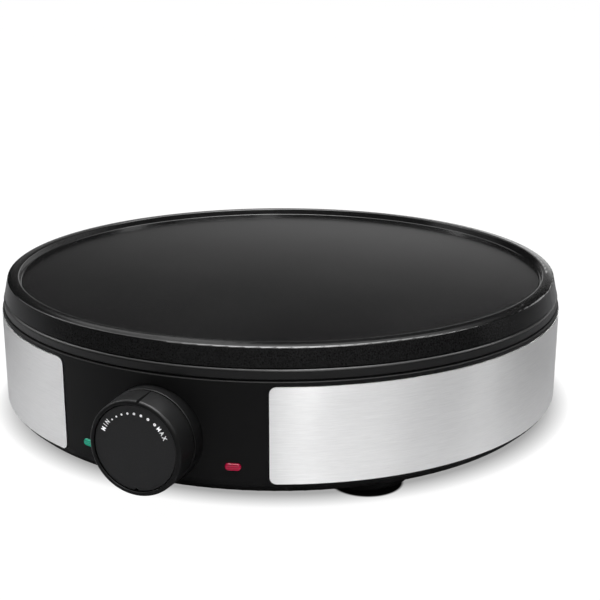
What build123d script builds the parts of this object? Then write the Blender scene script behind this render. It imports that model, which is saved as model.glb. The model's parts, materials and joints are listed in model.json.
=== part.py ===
from build123d import *
import math
import os

# Electric crepe maker: a round cast plate on a moulded housing, with a turning dial at the front.
#
# Millimetres, +Z up, standing on Z = 0 with the dial towards -Y. Everything is modelled round the
# body's own axis and moved along Y at the end, so that the origin is under the middle of the whole
# object. An angle goes round the body's axis from the front, towards +X. A reach is a distance from
# that axis, out towards the dial or the cord gland.

# ---- Sizes: cooking plate ----
surface_r = 150.9  # flat cooking surface, to the middle of the groove round it
plate_t = 6.0
rim_w = 7.7  # middle of the groove to the outer edge of the rim
rim_rise = 3.6
rim_slope_w = 0.7  # groove to crest
rim_fall = 0.8  # the rim's outer edge lies this far under its crest
rim_fall_w = 3.4
rim_round = 0.8
rim_crown_round = 12.0
crest_round = 0.9
groove_w = 1.2
groove_depth = 0.4
groove_round = 0.3
plate_wall_h = 10.4
plate_wall_lean = 2.2
plate_gap_h = 0.4  # shadow line between the plate's wall and the lip
plate_gap_in = 2.5
plate_spigot_w = 3.6  # ring that centres the plate in its trim ring
plate_spigot_h = 3.7
boss_r = 4.5

# ---- Sizes: trim ring ----
lip_h = 5.25
lip_over = 0.5  # lip beyond the foot of the plate's wall
lip_round = 1.7
lip_foot_round = 0.5
trim_land_w = 10.0  # land that carries the plate
seam_h = 0.8  # shadow line under the lip
seam_in = 1.1

# ---- Sizes: housing ----
housing_over = 0.9  # housing beyond the lip
wall_t = 2.5
band_h = 2.45  # black band over the steel panels
band_round = 0.6
panel_h = 49.3
skirt_h = 6.5  # curved-in foot of the housing, under the panels
skirt_in = 5.8
skirt_round = 6.0
skirt_foot_round = 1.5
skirt_shoulder = 1.2  # the skirt starts to curve this far under the panels
skirt_wall_rise = 0.8  # inside of the skirt over its outside
skirt_inner_round = 1.5
flange_t = 2.5  # ledge inside the top, which carries the plate
flange_in = 8.0  # plate screws to the flange's inner edge
post_r = 4.5  # screw posts for the base cover
post_h = 26.0
post_inset = 5.9  # base cover's edge to the middle of a post
post_angles = (-160, -90, -25, 25, 90, 160)
rib_t = 2.5

# ---- Sizes: steel panels ----
panel_t = 0.8
panel_proud = 0.3
panel_corner_r = 3.5
panel_front_angle = 20.2  # bare front of the housing, each side of the dial
panel_rear_angle = 9.0  # bare back, each side of the cord gland
panel_gap = 0.8
glue_t = 0.1

# ---- Sizes: base cover and feet ----
base_t = 2.2
base_gap = 0.6
foot_angle = 41.2
foot_inset = 0.5  # base cover's edge to a foot's boss
foot_r = 16.2
foot_h = 5.4
foot_round = 1.4
foot_top_round = 0.6
foot_cup_r = 3.4
foot_cup_h = 3.0
foot_boss_r = 26.4
foot_boss_h = 5.4
foot_boss_lean = 1.0
foot_boss_round = 1.2
foot_boss_wall = 2.4
foot_spigot_r = 8.6
foot_spigot_h = 2.0
vent_count = 18
vent_w = 3.0
vent_l = 26.0
vent_reach = 62.0

# ---- Sizes: dial ----
dial_drop = 30.6  # top of the housing to the dial's axis
dial_proud = 19.8  # front of the grip ring beyond the housing
dial_r = 24.1
dial_flare = 0.6  # the grip ring widens towards its back
dial_depth = 14.0
dial_back_round = 1.0
grip_t = 2.3
grip_round = 1.6
grip_inner_round = 0.5
web_t = 2.0
web_setback = 8.5  # front of the grip ring to the front of its web
hub_r = 6.5
hub_gap = 2.4  # collar's floor to the hub
hub_front = 3.0
disc_t = 1.6
disc_setback = 0.9
disc_round = 0.3
disc_notch_r = 1.2
dial_gap = 0.3  # running gap round the scale disc and its pins
pin_r = 1.45  # the disc's two pins, held in the collar
pin_reach = 16.0  # dial axis to a pin
pin_angles = (-90, 90)
dial_travel = 57.0  # each way from the middle of the scale
dial_rest = 6.0  # at rest the pointer is this far clockwise from the top
slot_spare = 1.0  # degrees that the pins' slots go past the travel
pointer_w = 1.8
pointer_depth = 1.7
pointer_l = 20.0  # the groove would run out this far behind the front
collar_t = 2.3
collar_round = 0.5
collar_floor_t = 3.0
collar_gap = 0.4
socket_r = 3.0
socket_gap = 2.0  # pins' sockets to the grip ring's web
seat_depth = 3.7  # flat seat for the collar, cut into the round wall
seat_t = 3.5
seat_margin = 1.7

# ---- Sizes: thermostat ----
shaft_r = 3.0
shaft_flat = 2.0  # shaft axis to its flat
shaft_in = 7.0  # length inside the thermostat
shaft_flat_past = 0.6  # the flat goes on behind the hub
shaft_end_gap = 1.2
thermostat_w = 38.0
thermostat_h = 36.0
thermostat_d = 19.8
thermostat_corner_r = 4.0
thermostat_plate_w = 40.0
thermostat_plate_h = 20.0
thermostat_plate_t = 1.2
thermostat_pitch = 28.0  # between its two screws
bushing_r = 5.0
bushing_l = 6.0
tab_w = 6.3
tab_t = 0.8
tab_l = 8.0
tab_x = 9.0
tab_drop = 9.0
clip_t = 0.4
clip_w = 3.2
capillary_r = 1.0
capillary_x = 8.0
capillary_rise = 7.0
capillary_bend = 6.0
sensor_r = 3.0
sensor_l = 60.0
sensor_in = 45.8  # heating element to the sensing bulb
fuse_r = 2.2
fuse_l = 14.0
fuse_lead_r = 0.6
fuse_lead_l = 6.0
fuse_in = 43.8  # heating element to the fuse
strap_w = 10.0
strap_t = 0.8
strap_offset = 12.0  # clip screw to the thing that it holds
strap_lip = 3.0

# ---- Sizes: heater ----
heater_in = 35.0  # plate screws to the heating element
heater_r = 4.0
heater_gap_angle = 14.0  # each side of the back
heater_bend_r = 12.0
heater_leg = 10.0
channel_wall_t = 2.3
channel_h = 7.0
insulator_r = 3.4
insulator_h = 4.0
heater_pin_r = 1.6
heater_pin_l = 14.0
reflector_t = 0.5
reflector_gap = 0.6  # round the reflector, inside the plate's spigot
reflector_drop = 8.4
reflector_slope_w = 7.0
reflector_ledge = 4.0  # flange's inner edge to the top of the reflector's slope
reflector_hole_gap = 2.0
spacer_inset = 5.5  # reflector's edge to the plate screws
spacer_h = 3.5
spacer_angles = (-135, -45, 45, 135)

# ---- Sizes: pilot lights ----
lamp_angle = 14.0
lamp_rise = 8.4  # foot of the panels to the middle of a lens
lens_w = 7.8
lens_h = 3.7
lens_proud = 0.9
lens_edge_r = 0.8
lens_flange = 1.6
lens_flange_t = 1.9
holder_w = 13.0
holder_h = 9.0
holder_d = 14.0
holder_wall = 1.8
neon_r = 2.0
neon_l = 10.0
neon_tip_r = 1.5
lead_r = 0.4
lead_l = 6.0
lead_pitch = 2.0
shelf_t = 1.5

# ---- Sizes: mains inlet ----
cord_rise = 13.0  # base cover to the middle of the cord
cord_bore_r = 3.7
gland_r = 6.6
gland_flange_r = 9.5
gland_flange_t = 3.0
gland_round = 1.2
gland_lip_r = 8.0
gland_lip_t = 2.5
gland_boss_r = 11.0
gland_boss_proud = 1.0
gland_boss_t = 7.2
saddle_w = 28.0
saddle_d = 10.0
saddle_gap = 10.5  # saddle to the gland
clamp_h = 7.0
clamp_pitch = 20.0
cord_grip_r = 3.4
terminal_w = 36.0
terminal_d = 18.0
terminal_h = 15.0
terminal_x = -52.0
terminal_in = 46.0  # cord clamp to the terminal block
terminal_bore_r = 1.8
terminal_bore_z = 5.0
terminal_pitch = 10.0
terminal_screw_l = 5.0
earth_side = 13.4  # fuse's wire to the earth screw, sideways
earth_in = 25.0  # heating element to the earth screw
earth_boss_h = 5.0
earth_tag_l = 12.0

# ---- Sizes: routes of the wires and of the capillary tube ----
wire_r = 1.3
wire_in = 5.0  # length of a wire inside the terminal block
wire_bend = 6.0
crossing_reach = 20.0  # two wires pass the body's axis this far in front of it
capillary_out = 11.0  # bulb's end to the tube's way down
capillary_back = 19.0  # bulb's axis to the tube's way down
capillary_sag = 2.0
capillary_dip = 4.0
capillary_lead = 24.0  # straight run behind the thermostat
live_lead = 34.0  # straight run out of the terminal block, from its middle
live_side = 14.0
live_rise = 3.0
live_tab_lead = 38.0  # straight run behind the thermostat
switched_tab_lead = 34.0
switched_side = 16.0  # the wire goes up this far beside the fuse's lead
switched_bow = 4.0
switched_rise = 8.0
fuse_side = 14.0  # the wire goes down this far beside the fuse's other lead
fuse_wire_bow = 4.0
fuse_wire_back = 22.0
fuse_wire_dip = 12.0
pin_lead = 14.0  # straight run under a heater pin
neutral_lead = 16.0
neutral_side = 16.0
neutral_back = 42.0
neutral_rise = 2.0
neutral_turn_l = 12.0
neutral_turn_h = 6.0
earth_lead = 14.0
earth_bow = 22.0
earth_turn_h = 10.0

# ---- Sizes: screws and clearances ----
touch_gap = 0.1  # between curved pieces that are held together
loose_gap = 0.3
thread_gap = 0.05
running_gap = 0.05
hole_gap = 0.3  # round a screw in a clearance hole
hole_past = 0.6  # blind hole beyond the tip of its screw
large_r = 2.0  # M4
large_head_r = 3.8
large_head_h = 2.4
small_r = 1.5  # M3
small_head_r = 2.8
small_head_h = 1.8
plate_screw_l = 12.0
thermostat_screw_l = 10.0
case_screw_l = 14.0
case_cup_h = 1.0
foot_screw_l = 8.5
clamp_screw_l = 14.0
strap_screw_l = 6.0
cut = 1.0  # a cutting shape goes this far past the face that it cuts

# ---- Heights, from the surface that the feet stand on ----
base_z = foot_h + foot_boss_h
cover_top_z = base_z + base_t
panel_z = base_z + skirt_h
skirt_top_z = panel_z - skirt_shoulder
band_z = panel_z + panel_h
flange_z = band_z + band_h
flange_under_z = flange_z - flange_t
lip_z = flange_z + seam_h
plate_seat_z = lip_z + lip_h
plate_foot_z = plate_seat_z + plate_gap_h
rim_z = plate_foot_z + plate_wall_h
surface_z = rim_z - rim_rise
plate_under_z = surface_z - plate_t
boss_z = flange_z + reflector_t + spacer_h
heater_z = plate_under_z - touch_gap - heater_r
heater_end_z = heater_z - heater_bend_r - heater_leg
pin_end_z = heater_end_z - heater_pin_l
reflector_z = flange_z - reflector_drop
sensor_z = plate_under_z - touch_gap - sensor_r
fuse_z = plate_under_z - touch_gap - fuse_r
earth_z = plate_under_z - earth_boss_h
dial_z = flange_z - dial_drop
tab_z = dial_z - tab_drop
lamp_z = panel_z + lamp_rise
cord_z = cover_top_z + cord_rise
terminal_z = cover_top_z + terminal_bore_z

# ---- Radii and reaches: plate, trim ring and housing ----
rim_r = surface_r + rim_w
plate_foot_r = rim_r + plate_wall_lean
plate_land_r = plate_foot_r - plate_gap_in
lip_r = plate_foot_r + lip_over
trim_bore_r = plate_foot_r - trim_land_w
plate_spigot_r = trim_bore_r - loose_gap
spigot_in_r = plate_spigot_r - plate_spigot_w
housing_r = lip_r + housing_over
wall_in_r = housing_r - wall_t
skirt_r = housing_r - skirt_in
skirt_in_r = skirt_r - wall_t
cover_r = skirt_in_r - base_gap
post_reach = cover_r - post_inset
foot_reach = cover_r - foot_inset - foot_boss_r
panel_out_r = housing_r + panel_proud
panel_in_r = panel_out_r - panel_t

# ---- Radii and reaches: what hangs under the plate ----
reflector_r = spigot_in_r - reflector_gap
spacer_reach = reflector_r - spacer_inset
flange_in_r = spacer_reach - flange_in
slope_top_r = flange_in_r - reflector_ledge
slope_foot_r = slope_top_r - reflector_slope_w
heater_reach = spacer_reach - heater_in
sensor_reach = heater_reach - sensor_in
fuse_reach = heater_reach - fuse_in
fuse_lead_x = fuse_l / 2 + fuse_lead_l
fuse_wire_x = fuse_lead_x + fuse_side
earth_reach = heater_reach - earth_in
earth_angle = math.degrees(math.asin((fuse_wire_x + earth_side) / earth_reach)) - 180

# ---- Radii and reaches: dial and thermostat ----
dial_reach = housing_r + dial_proud
seat_reach = housing_r - seat_depth
pad_reach = seat_reach - seat_t
collar_r = dial_r + dial_flare
pad_r = collar_r + loose_gap + seat_margin
dial_back = dial_reach - dial_depth
grip_in_r = dial_r - grip_t
web_front = dial_reach - web_setback
web_back = web_front - web_t
hub_front_reach = web_front + hub_front
collar_front = dial_back - collar_gap
collar_floor = seat_reach + collar_floor_t
socket_front = web_back - socket_gap
hub_back_reach = collar_floor + hub_gap
shaft_back = pad_reach - shaft_in
shaft_front = hub_front_reach - shaft_end_gap
disc_front = dial_reach - disc_setback
disc_back = disc_front - disc_t
disc_r = grip_in_r - dial_gap
thermostat_front = pad_reach - thermostat_plate_t
thermostat_back = thermostat_front - thermostat_d
outside = dial_reach + cut

# ---- Radii and reaches: pilot lights and mains inlet ----
holder_front = wall_in_r - loose_gap - lens_flange_t
holder_back = holder_front - holder_d
gland_seat = housing_r + gland_boss_proud
gland_reach = gland_seat + gland_flange_t
gland_inside = gland_seat - gland_boss_t
saddle_reach = gland_inside - gland_lip_t - saddle_gap - saddle_d / 2
terminal_reach = saddle_reach - terminal_in
axis_y = (dial_reach - gland_reach) / 2

foot_places = {
    "front_left": -foot_angle,
    "front_right": foot_angle,
    "rear_left": foot_angle - 180,
    "rear_right": 180 - foot_angle,
}
# Angle, reach and radius of each round thing that a strap holds up against the plate.
sensor_strap = (0, sensor_reach, sensor_r)
fuse_strap = (180, fuse_reach, fuse_r)
BOTTOM = (Align.CENTER, Align.CENTER, Align.MIN)


# ---- Shapes that are used again ----
def profile(points, rounds=None):
    """A closed flat outline, with the numbered corners rounded."""
    face = make_face(Polyline(*points, close=True))
    for index, radius in (rounds or {}).items():
        corner = face.vertices().sort_by_distance((*points[index], 0))[0]
        face = fillet(corner, radius)
    return face


def turned(points, rounds=None, sweep_deg=360.0):
    """A solid turned about Z from points of (radius, height)."""
    return revolve(Plane.XZ * profile(points, rounds), Axis.Z, sweep_deg)


def rod(radius, low, high):
    return Pos(0, 0, low) * Cylinder(radius, high - low, align=BOTTOM)


def pipe(radius, bore_r, low, high):
    return rod(radius, low, high) - rod(bore_r, low - cut, high + cut)


def block(width, depth, low, high):
    return Pos(0, 0, low) * Box(width, depth, high - low, align=BOTTOM)


def pill(width, height, low, high):
    """A bar with round ends, its long way across X."""
    return Pos(0, 0, low) * extrude(SlotOverall(width, height), high - low)


def placed(shape, angle, reach):
    """The shape moved out to the front by its reach, then round by its angle."""
    return Rot(0, 0, angle) * Pos(0, -reach, 0) * shape


def facing_out(shape, height, angle=0.0):
    """A shape made along Z is laid down: its Z becomes the reach, and its Y points up."""
    return Rot(0, 0, angle) * Pos(0, 0, height) * Rot(90, 0, 0) * shape


def at_rest(shape):
    """A piece that turns with the dial, laid down at its place of rest."""
    return facing_out(Rot(0, 0, -dial_rest) * shape, dial_z)


def place_of(angle, reach, height):
    turn = math.radians(angle)
    return Vector(reach * math.sin(turn), -reach * math.cos(turn), height)


def group(shapes):
    """Separate solids that share one node."""
    return Part() + list(shapes)


def screw(head_r, head_h, shank_r, length):
    """A cross-recessed screw: its head is under Z = 0 and its shank points up."""
    outline = [(0, -head_h), (head_r, -head_h), (head_r, 0), (shank_r, 0), (shank_r, length), (0, length)]
    slot_l = head_r * 1.1
    slot_w = head_r * 0.25
    slot_top = -head_h * 0.45
    body = turned(outline, {1: head_h * 0.4})
    body -= block(slot_l, slot_w, -head_h - cut, slot_top)
    body -= block(slot_w, slot_l, -head_h - cut, slot_top)
    return body


def large_screw(length):
    return screw(large_head_r, large_head_h, large_r, length)


def small_screw(length):
    return screw(small_head_r, small_head_h, small_r, length)


def cable(radius, points, bend):
    """A round wire or tube along straight runs that are joined by arcs."""
    path = FilletPolyline(*points, radius=bend)
    section = Plane(origin=path @ 0, z_dir=path % 0) * Circle(radius)
    return sweep(section, path=path)


# ---- Straps that hold the sensor and the fuse under the plate ----
def strap_seat_z(held_r):
    return plate_under_z - 2 * (held_r + touch_gap)


def strap_boss(angle, reach, held_r):
    return placed(rod(boss_r, strap_seat_z(held_r), plate_under_z), angle, reach + strap_offset)


def strap_hole(angle, reach, held_r):
    low = strap_seat_z(held_r) - strap_t
    hole = rod(small_r + thread_gap, low - cut, low + strap_screw_l + hole_past)
    return placed(hole, angle, reach + strap_offset)


def strap(angle, reach, held_r):
    """A flat strip from its boss to beyond the thing it holds, with its end turned up."""
    top = strap_seat_z(held_r)
    far = reach + strap_offset + boss_r
    near = reach - held_r - touch_gap - strap_t
    strip = placed(block(strap_w, far - near, top - strap_t, top), 0, (far + near) / 2)
    lip = placed(block(strap_w, strap_t, top - strap_t, top + strap_lip), 0, near + strap_t / 2)
    hole = rod(small_r + hole_gap, top - strap_t - cut, top + cut)
    return Rot(0, 0, angle) * (strip + lip - placed(hole, 0, reach + strap_offset))


def strap_screw(angle, reach, held_r):
    place = Pos(0, 0, strap_seat_z(held_r) - strap_t)
    return placed(place * small_screw(strap_screw_l), angle, reach + strap_offset)


# ---- Cooking plate and its trim ring ----
def channel_walls():
    """Two ribs under the plate that hold the heating element between them."""
    low = plate_under_z - channel_h
    sweep_deg = 360 - 2 * heater_gap_angle
    walls = []
    for side in (-1, 1):
        near = heater_reach + side * (heater_r + touch_gap)
        far = near + side * channel_wall_t
        outline = [(near, low), (far, low), (far, plate_under_z), (near, plate_under_z)]
        walls.append(Rot(0, 0, 90 + heater_gap_angle) * turned(outline, sweep_deg=sweep_deg))
    return walls


def cooking_plate():
    crest_r = surface_r + groove_w / 2 + rim_slope_w
    spigot_z = plate_seat_z - plate_spigot_h
    outline = [
        (0, plate_under_z),
        (spigot_in_r, plate_under_z),
        (spigot_in_r, spigot_z),
        (plate_spigot_r, spigot_z),
        (plate_spigot_r, plate_seat_z),
        (plate_land_r, plate_seat_z),
        (plate_land_r, plate_foot_z),
        (plate_foot_r, plate_foot_z),
        (rim_r, rim_z - rim_fall),
        (rim_r - rim_fall_w, rim_z),
        (crest_r, rim_z),
        (surface_r + groove_w / 2, surface_z),
        (surface_r, surface_z - groove_depth),
        (surface_r - groove_w / 2, surface_z),
        (0, surface_z),
    ]
    rounds = {8: rim_round, 9: rim_crown_round, 10: crest_round}
    rounds |= {11: groove_round, 12: groove_round, 13: groove_round}
    plate = turned(outline, rounds)
    plate += channel_walls()
    plate_hole = rod(large_r + thread_gap, boss_z - cut, flange_under_z + plate_screw_l + hole_past)
    for angle in spacer_angles:
        plate += placed(rod(boss_r, boss_z, plate_under_z), angle, spacer_reach)
        plate -= placed(plate_hole, angle, spacer_reach)
    for held in (sensor_strap, fuse_strap):
        plate += strap_boss(*held)
        plate -= strap_hole(*held)
    plate += placed(rod(boss_r, earth_z, plate_under_z), earth_angle, earth_reach)
    earth_hole_top = earth_z - strap_t + strap_screw_l + hole_past
    earth_hole = rod(small_r + thread_gap, earth_z - cut, earth_hole_top)
    return plate - placed(earth_hole, earth_angle, earth_reach)


def plate_trim_ring():
    outline = [
        (trim_bore_r, flange_z),
        (lip_r - seam_in, flange_z),
        (lip_r - seam_in, lip_z),
        (lip_r, lip_z),
        (lip_r, plate_seat_z),
        (trim_bore_r, plate_seat_z),
    ]
    return turned(outline, {3: lip_foot_round, 4: lip_round})


# ---- Heater ----
def heater_leg_place(side):
    """Where a leg of the element comes down, beside the gap at the back."""
    turn = math.radians(heater_gap_angle)
    x = heater_reach * math.sin(turn) - heater_bend_r * math.cos(turn)
    y = heater_reach * math.cos(turn) + heater_bend_r * math.sin(turn)
    return Vector(side * x, y, 0)


def heater_end(side):
    """One end of the element: a bend that starts along the ring, then the straight leg."""
    turn = math.radians(heater_gap_angle)
    start = Vector(
        side * heater_reach * math.sin(turn), heater_reach * math.cos(turn), heater_z
    )
    along = Vector(-side * math.cos(turn), math.sin(turn), 0)
    half = math.sqrt(0.5)
    middle = start + along * (heater_bend_r * half) - Vector(0, 0, heater_bend_r * (1 - half))
    low = start + along * heater_bend_r - Vector(0, 0, heater_bend_r)
    end = Vector(low.X, low.Y, heater_end_z)
    return [Line(end, low), ThreePointArc(low, middle, start)]


def heating_element():
    ring = CenterArc(
        (0, 0, heater_z), heater_reach, 90 + heater_gap_angle, 360 - 2 * heater_gap_angle
    )
    path = Wire([*heater_end(-1), ring, *heater_end(1)])
    section = Plane(origin=path @ 0, z_dir=path % 0) * Circle(heater_r)
    return sweep(section, path=path)


def heater_pins():
    pin = rod(heater_pin_r, heater_end_z - heater_pin_l, heater_end_z)
    return group(Pos(heater_leg_place(side)) * pin for side in (-1, 1))


def heater_insulators():
    bead = pipe(insulator_r, heater_pin_r + thread_gap, heater_end_z - insulator_h, heater_end_z)
    return group(Pos(heater_leg_place(side)) * bead for side in (-1, 1))


def heat_reflector():
    outline = [
        (0, reflector_z),
        (slope_foot_r, reflector_z),
        (slope_top_r, flange_z),
        (reflector_r, flange_z),
        (reflector_r, flange_z + reflector_t),
        (slope_top_r - reflector_t, flange_z + reflector_t),
        (slope_foot_r - reflector_t, reflector_z + reflector_t),
        (0, reflector_z + reflector_t),
    ]
    dish = turned(outline)
    low = reflector_z - cut
    high = flange_z + reflector_t + cut
    for side in (-1, 1):
        dish -= Pos(heater_leg_place(side)) * rod(heater_r + reflector_hole_gap, low, high)
    for route in (capillary_route(), switched_route(), fuse_route(), earth_route()):
        crossing = route[reflector_run(route)]
        dish -= Pos(crossing.X, crossing.Y, 0) * rod(wire_r + reflector_hole_gap, low, high)
    for angle in spacer_angles:
        dish -= placed(rod(large_r + hole_gap, low, high), angle, spacer_reach)
    return dish


def plate_spacers():
    spacer = pipe(boss_r, large_r + hole_gap, flange_z + reflector_t, boss_z)
    return group(placed(spacer, angle, spacer_reach) for angle in spacer_angles)


def plate_screws():
    fastener = Pos(0, 0, flange_under_z) * large_screw(plate_screw_l)
    return group(placed(fastener, angle, spacer_reach) for angle in spacer_angles)


# ---- Housing and its panels ----
def housing_outline():
    """The outside of the housing, from its foot to its top edge."""
    return [(skirt_r, base_z), (housing_r, skirt_top_z), (housing_r, flange_z)]


def housing_core():
    """Everything inside the housing's outer surface."""
    outline = [(0, base_z), *housing_outline(), (0, flange_z)]
    return turned(outline, {1: skirt_foot_round, 2: skirt_round})


def housing_shell():
    outline = [
        (skirt_in_r, base_z),
        *housing_outline(),
        (flange_in_r, flange_z),
        (flange_in_r, flange_under_z),
        (wall_in_r, flange_under_z),
        (wall_in_r, skirt_top_z + skirt_wall_rise),
        (skirt_in_r, base_z + skirt_wall_rise),
    ]
    rounds = {1: skirt_foot_round, 2: skirt_round, 3: band_round, 7: skirt_inner_round}
    return turned(outline, rounds)


def panel_sheet(inner_r, outer_r, margin, side):
    """A sheet bent round one side of the housing, with round corners, grown by a margin."""
    turn = math.degrees(margin / housing_r)
    start = panel_front_angle - turn
    sweep_deg = 180 - panel_front_angle - panel_rear_angle + 2 * turn
    low = panel_z - margin
    high = band_z + margin
    outline = [(inner_r, low), (outer_r, low), (outer_r, high), (inner_r, high)]
    sheet = turned(outline, sweep_deg=sweep_deg)
    thickness = outer_r - inner_r
    corners = sheet.edges().filter_by(lambda edge: abs(edge.length - thickness) < 1e-6)
    sheet = Rot(0, 0, start - 90) * fillet(corners, panel_corner_r + margin)
    return sheet if side > 0 else mirror(sheet, about=Plane.YZ)


def steel_panel(side):
    return panel_sheet(panel_in_r, panel_out_r, 0, side)


def case_post():
    """A screw post, with a rib to the wall behind it."""
    top = cover_top_z + post_h
    rib_l = wall_in_r + wall_t / 4 - post_reach
    rib = Pos(0, -rib_l / 2, 0) * block(rib_t, rib_l, panel_z + rib_t, top)
    return rod(post_r, cover_top_z, top) + rib


def case_hole():
    tip = base_z + case_cup_h + case_screw_l
    return rod(small_r + thread_gap, base_z, tip + hole_past)


def lamp_shelf():
    """A shelf inside the wall that carries a lamp holder."""
    top = lamp_z - holder_h / 2
    depth = wall_in_r + wall_t / 4 - holder_back
    return placed(block(holder_w, depth, top - shelf_t, top), 0, holder_back + depth / 2)


def housing():
    shell = housing_shell()
    shell += facing_out(rod(pad_r, pad_reach, outside), dial_z) & housing_core()
    shell += facing_out(rod(gland_boss_r, gland_inside, gland_seat), cord_z, 180)
    for angle in post_angles:
        shell += placed(case_post(), angle, post_reach)
        shell -= placed(case_hole(), angle, post_reach)
    for side in (-1, 1):
        shell += Rot(0, 0, side * lamp_angle) * lamp_shelf()
        slot = pill(lens_w + loose_gap, lens_h + loose_gap, holder_front, outside)
        shell -= facing_out(slot, lamp_z, side * lamp_angle)
        shell -= panel_sheet(panel_in_r - glue_t, panel_out_r + cut, panel_gap, side)
    shell -= facing_out(rod(collar_r + loose_gap, seat_reach, outside), dial_z)
    shell -= facing_out(rod(bushing_r + loose_gap, pad_reach - cut, outside), dial_z)
    screw_hole = rod(large_r + hole_gap, pad_reach - cut, outside)
    for side in (-1, 1):
        shell -= facing_out(Pos(side * thermostat_pitch / 2, 0, 0) * screw_hole, dial_z)
    shell -= facing_out(rod(gland_r + touch_gap, gland_inside - cut, gland_reach), cord_z, 180)
    for angle in spacer_angles:
        flange_hole = rod(large_r + hole_gap, flange_under_z - cut, flange_z + cut)
        shell -= placed(flange_hole, angle, spacer_reach)
    return shell


# ---- Base cover and feet ----
def foot_boss():
    outline = [
        (0, foot_h),
        (foot_boss_r - foot_boss_lean, foot_h),
        (foot_boss_r, base_z),
        (foot_boss_r, cover_top_z),
        (0, cover_top_z),
    ]
    floor_z = foot_h + foot_spigot_h + touch_gap + foot_boss_wall
    boss = turned(outline, {1: foot_boss_round})
    boss -= pipe(foot_boss_r - foot_boss_wall, boss_r, floor_z, cover_top_z + cut)
    return boss


def foot_boss_hollow():
    """What is cut out of a foot's boss from below: the foot's seat and its screw's hole."""
    seat = rod(foot_spigot_r + loose_gap, foot_h - cut, foot_h + foot_spigot_h + touch_gap)
    tip = foot_cup_h + foot_screw_l + hole_past
    return seat + rod(small_r + thread_gap, foot_h, tip)


def base_cover():
    cover = rod(cover_r, base_z, cover_top_z)
    for angle in foot_places.values():
        cover -= placed(rod(foot_boss_r - cut, base_z - cut, cover_top_z + cut), angle, foot_reach)
        cover += placed(foot_boss(), angle, foot_reach)
        cover -= placed(foot_boss_hollow(), angle, foot_reach)
    for angle in post_angles:
        cup = rod(small_head_r + hole_gap, base_z - cut, base_z + case_cup_h)
        hole = rod(small_r + hole_gap, base_z - cut, cover_top_z + cut)
        cover -= placed(cup + hole, angle, post_reach)
    vent = Rot(0, 0, 90) * pill(vent_l, vent_w, base_z - cut, cover_top_z + cut)
    for index in range(vent_count):
        cover -= placed(vent, index * 360 / vent_count, vent_reach)
    cover += placed(block(saddle_w, saddle_d, base_z, cord_z), 180, saddle_reach)
    cover -= cord_groove(cord_bore_r)
    for side in (-1, 1):
        tip = cord_z + clamp_h - clamp_screw_l - hole_past
        pilot = Pos(side * clamp_pitch / 2, 0, 0) * rod(small_r + thread_gap, tip, cord_z + cut)
        cover -= placed(pilot, 180, saddle_reach)
    return cover


def foot():
    top = foot_h + foot_spigot_h
    outline = [(0, 0), (foot_r, 0), (foot_r, foot_h), (foot_spigot_r, foot_h), (foot_spigot_r, top), (0, top)]
    pad = turned(outline, {1: foot_round, 2: foot_top_round})
    return pad - rod(foot_cup_r, -cut, foot_cup_h) - rod(small_r + hole_gap, 0, top + cut)


def foot_screws():
    fastener = Pos(0, 0, foot_cup_h) * small_screw(foot_screw_l)
    return group(placed(fastener, angle, foot_reach) for angle in foot_places.values())


def case_screws():
    fastener = Pos(0, 0, base_z + case_cup_h) * small_screw(case_screw_l)
    return group(placed(fastener, angle, post_reach) for angle in post_angles)


# ---- Dial, made along Z with the pointer towards Y ----
def pointer_groove():
    """A V groove that is deepest at the front and gets shallower towards the back."""
    rise = pointer_depth + dial_flare * pointer_l / dial_depth
    lean = math.degrees(math.atan2(rise, pointer_l))
    section = make_face(
        Polyline((0, 0), (pointer_w, 2 * pointer_depth), (-pointer_w, 2 * pointer_depth), close=True)
    )
    wedge = Pos(0, 0, -dial_depth) * extrude(section, dial_depth + 2 * cut)
    return Pos(0, dial_r - pointer_depth, dial_reach) * Rot(lean, 0, 0) * wedge


def dial_grip_ring():
    outline = [
        (0, hub_back_reach),
        (hub_r, hub_back_reach),
        (hub_r, web_back),
        (grip_in_r, web_back),
        (grip_in_r + dial_flare, dial_back),
        (dial_r + dial_flare, dial_back),
        (dial_r, dial_reach),
        (grip_in_r, dial_reach),
        (grip_in_r, web_front),
        (hub_r, web_front),
        (hub_r, hub_front_reach),
        (0, hub_front_reach),
    ]
    ring = turned(outline, {5: dial_back_round, 6: grip_round, 7: grip_inner_round})
    slot_half = dial_travel + math.degrees(math.asin((pin_r + dial_gap) / pin_reach)) + slot_spare
    near = pin_reach - pin_r - dial_gap
    far = pin_reach + pin_r + dial_gap
    outline = [(near, web_back - cut), (far, web_back - cut), (far, web_front + cut), (near, web_front + cut)]
    slot = turned(outline, sweep_deg=2 * slot_half)
    for middle in pin_angles:
        ring -= Rot(0, 0, middle - slot_half) * slot
    bore_flat = shaft_flat + clip_t + 2 * running_gap
    bore = rod(shaft_r + running_gap, hub_back_reach - cut, shaft_front + loose_gap)
    bore -= Pos(0, bore_flat + shaft_r, 0) * block(4 * shaft_r, 2 * shaft_r, shaft_back, outside)
    return ring - bore - pointer_groove()


def scale_disc():
    outline = [(0, disc_back), (disc_r, disc_back), (disc_r, disc_front), (0, disc_front)]
    disc = turned(outline, {2: disc_round})
    for side in (-1, 1):
        pin = rod(pin_r, collar_floor + 2 * loose_gap, disc_back)
        disc += Pos(0, side * pin_reach, 0) * pin
    return disc - Pos(0, -disc_r, 0) * rod(disc_notch_r, disc_back - cut, outside)


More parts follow.
